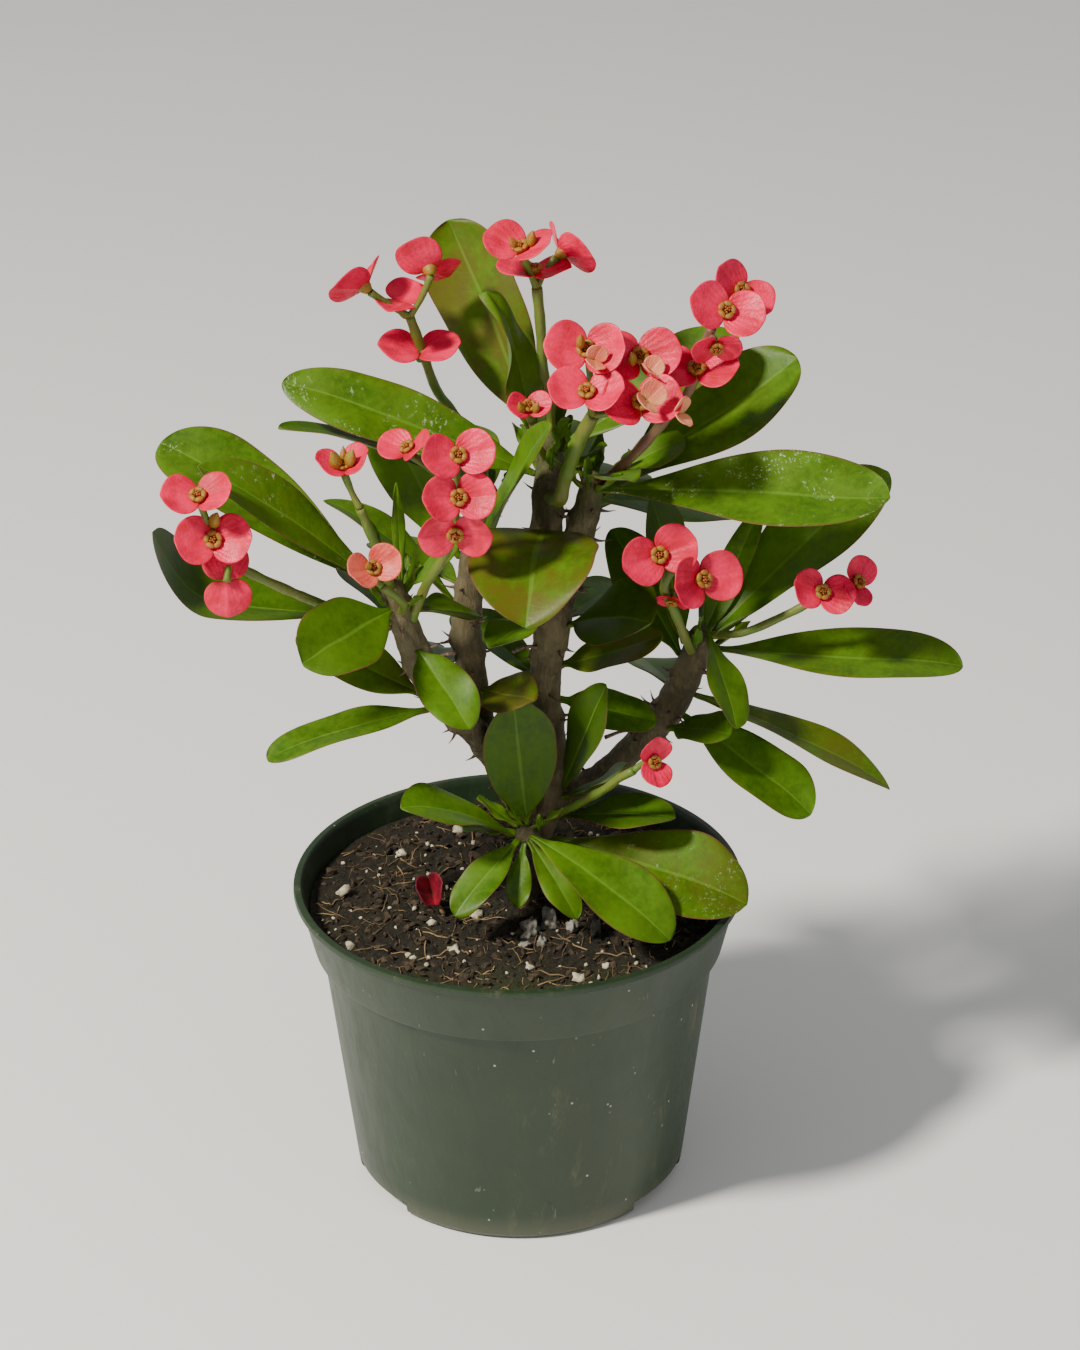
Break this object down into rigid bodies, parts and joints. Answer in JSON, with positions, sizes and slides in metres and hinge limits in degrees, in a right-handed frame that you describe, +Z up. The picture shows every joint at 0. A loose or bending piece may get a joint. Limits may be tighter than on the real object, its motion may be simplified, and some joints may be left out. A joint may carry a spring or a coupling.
{
  "type": "potted euphorbia plant",
  "caption": "Crown-of-thorns euphorbia with woody stems, oval leaves and paired coral bracts, growing in soil in a round tapered plastic nursery pot.",
  "frame": {"origin": "middle of the pot's flat underside, on the surface it stands on", "axes": "+Z up; +X to the right and +Y away, as seen from the plant's display side"},
  "size_m": [0.2749, 0.158, 0.354],
  "materials": {
    "pot_plastic": "moulded dark green polypropylene, satin, scuffed and dusty",
    "soil": "moist peat potting mix with white perlite grains and some moss",
    "stem": "grey-brown bark with leaf scars and spines",
    "leaf": "smooth fleshy green leaf, satin sheen, paler midrib and margins",
    "flower": "soft coral-pink bracts round a yellow-green cup, on olive to reddish stalks",
    "dried_flower": "dried dark red bracts"
  },
  "bodies": {
    "root": {"centre_dark_leaf": "leaf", "centre_flowers": "flower", "centre_low_leaf": "leaf", "centre_olive_leaf": "leaf", "centre_small_leaf": "leaf", "crown_back_leaf": "leaf", "crown_behind_leaf": "leaf", "crown_bud_flower": "flower", "crown_curled_leaf": "leaf", "crown_front_leaf": "leaf", "crown_inner_leaf": "leaf", "crown_left_upper_leaf": "leaf", "crown_olive_leaf": "leaf", "crown_right_upper_leaf": "leaf", "crown_round_leaf": "leaf", "crown_tall_leaf": "leaf", "fallen_flower": "dried_flower", "far_left_flowers": "flower", "far_right_flowers": "flower", "left_broad_leaf": "leaf", "left_bud_flowers": "flower", "left_curled_edge_leaf": "leaf", "left_faded_flower": "flower", "left_front_flowers": "flower", "left_inner_leaf": "leaf", "left_knob_leaf": "leaf", "left_low_leaf": "leaf", "left_oval_leaf": "leaf", "left_shaded_leaf": "leaf", "left_spoon_leaf": "leaf", "low_flower": "flower", "pot": "pot_plastic", "rear_forward_leaf": "leaf", "rear_long_leaf": "leaf", "rear_short_leaf": "leaf", "rear_upright_leaf": "leaf", "rear_yellow_leaf": "leaf", "right_blue_leaf": "leaf", "right_bright_leaf": "leaf", "right_front_flowers": "flower", "right_hanging_leaf": "leaf", "right_inward_leaf": "leaf", "right_long_leaf": "leaf", "right_lower_leaf": "leaf", "right_rear_leaf": "leaf", "right_rising_leaf": "leaf", "soil": "soil", "sprout_front_leaf": "leaf", "sprout_left_leaf": "leaf", "sprout_lower_leaf": "leaf", "sprout_tall_leaf": "leaf", "stems": "stem", "top_flowers": "flower", "trunk_folded_leaf": "leaf", "trunk_low_leaf": "leaf", "trunk_right_leaf": "leaf", "trunk_upright_leaf": "leaf", "upper_left_flowers": "flower", "upper_right_flowers": "flower"}
  },
  "joints": []
}
